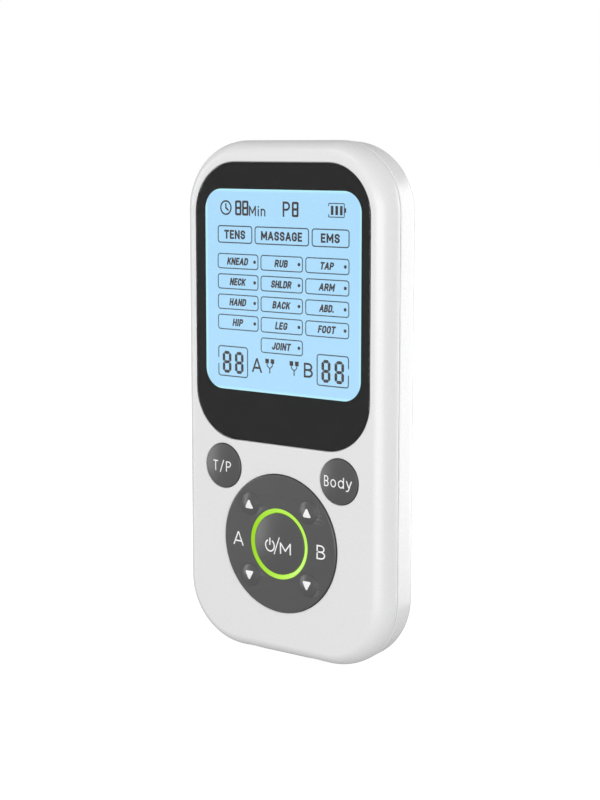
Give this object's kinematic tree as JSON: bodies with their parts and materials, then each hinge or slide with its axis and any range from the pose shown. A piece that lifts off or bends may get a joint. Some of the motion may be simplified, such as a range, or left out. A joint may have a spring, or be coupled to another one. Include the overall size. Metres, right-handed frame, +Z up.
{
  "type": "tens unit",
  "caption": "Hand-held two-channel electrical nerve stimulator with a backlit display, a round key pad with a lit ring, and output sockets in its lower end.",
  "frame": {"origin": "middle of the foot of the whole unit, keys included: half its width, half its depth and its lower end", "axes": "+Z up the case, towards the display's top edge; +X to the user's right; +Y from the display face into the case, towards its back"},
  "size_m": [0.0558, 0.0154, 0.1152],
  "materials": {
    "shell_plastic": "fine satin moulding",
    "window_lens": "polished, dark printed border",
    "black_tape": "matt",
    "lcd": "backlit, light blue",
    "backlight": "clear acrylic",
    "white_plastic": "natural nylon",
    "laminate": "green solder mask",
    "key_grey": "dark grey, satin",
    "ring_green": "translucent lime green, lit",
    "switch_black": "black moulding",
    "plunger_white": "white acetal",
    "led_yellow": "clear, phosphor yellow",
    "tinned_metal": "tinned",
    "battery_foil": "pouch foil",
    "lead_red": "insulated wire",
    "ferrite": "sintered ferrite with yellow tape",
    "screw_steel": "nickel plated",
    "label_silver": "blank silver polyester"
  },
  "bodies": {
    "case": {"backlight_reflector": "backlight", "battery_cell": "battery_foil", "battery_connector": "white_plastic", "battery_leads": "lead_red", "battery_tape": "black_tape", "board_screws": "screw_steel", "boost_inductor": "ferrite", "buzzer": "switch_black", "capacitors": "tinned_metal", "case_screws": "screw_steel", "charging_socket": "tinned_metal", "charging_tongue": "tinned_metal", "controller_chip": "switch_black", "crystal": "tinned_metal", "display_window": "window_lens", "driver_chips": "switch_black", "front_shell": "shell_plastic", "jack_terminals": "tinned_metal", "lcd_backlight": "backlight", "lcd_contact_strip": "black_tape", "lcd_frame": "white_plastic", "lcd_glass": "lcd", "light_ring": "ring_green", "main_board": "laminate", "output_jack_a": "switch_black", "output_jack_b": "switch_black", "output_transformer_a": "ferrite", "output_transformer_b": "ferrite", "pad_disc": "key_grey", "rating_label": "label_silver", "rear_shell": "shell_plastic", "ring_leds": "led_yellow", "switch_bodies": "switch_black", "window_tape": "black_tape"},
    "power_button": {"power_key": "key_grey", "power_plunger": "plunger_white"},
    "arrow_a_up_button": {"arrow_key_a_up": "key_grey", "arrow_a_up_plunger": "plunger_white"},
    "arrow_b_up_button": {"arrow_key_b_up": "key_grey", "arrow_b_up_plunger": "plunger_white"},
    "arrow_a_down_button": {"arrow_key_a_down": "key_grey", "arrow_a_down_plunger": "plunger_white"},
    "arrow_b_down_button": {"arrow_key_b_down": "key_grey", "arrow_b_down_plunger": "plunger_white"},
    "program_button": {"program_key": "key_grey", "program_plunger": "plunger_white"},
    "body_part_button": {"body_key": "key_grey", "body_plunger": "plunger_white"}
  },
  "joints": [
    {"name": "power_press", "type": "slide", "parent": "case", "child": "power_button", "axis": [0, 1, 0], "range_m": [0, 0.0006], "stiffness_N_per_m": 800, "springref_m": -0.0008},
    {"name": "arrow_a_up_press", "type": "slide", "parent": "case", "child": "arrow_a_up_button", "axis": [0, 1, 0], "range_m": [0, 0.0006], "stiffness_N_per_m": 800, "springref_m": -0.0008},
    {"name": "arrow_b_up_press", "type": "slide", "parent": "case", "child": "arrow_b_up_button", "axis": [0, 1, 0], "range_m": [0, 0.0006], "stiffness_N_per_m": 800, "springref_m": -0.0008},
    {"name": "arrow_a_down_press", "type": "slide", "parent": "case", "child": "arrow_a_down_button", "axis": [0, 1, 0], "range_m": [0, 0.0006], "stiffness_N_per_m": 800, "springref_m": -0.0008},
    {"name": "arrow_b_down_press", "type": "slide", "parent": "case", "child": "arrow_b_down_button", "axis": [0, 1, 0], "range_m": [0, 0.0006], "stiffness_N_per_m": 800, "springref_m": -0.0008},
    {"name": "program_press", "type": "slide", "parent": "case", "child": "program_button", "axis": [0, 1, 0], "range_m": [0, 0.0006], "stiffness_N_per_m": 800, "springref_m": -0.0008},
    {"name": "body_part_press", "type": "slide", "parent": "case", "child": "body_part_button", "axis": [0, 1, 0], "range_m": [0, 0.0006], "stiffness_N_per_m": 800, "springref_m": -0.0008}
  ]
}
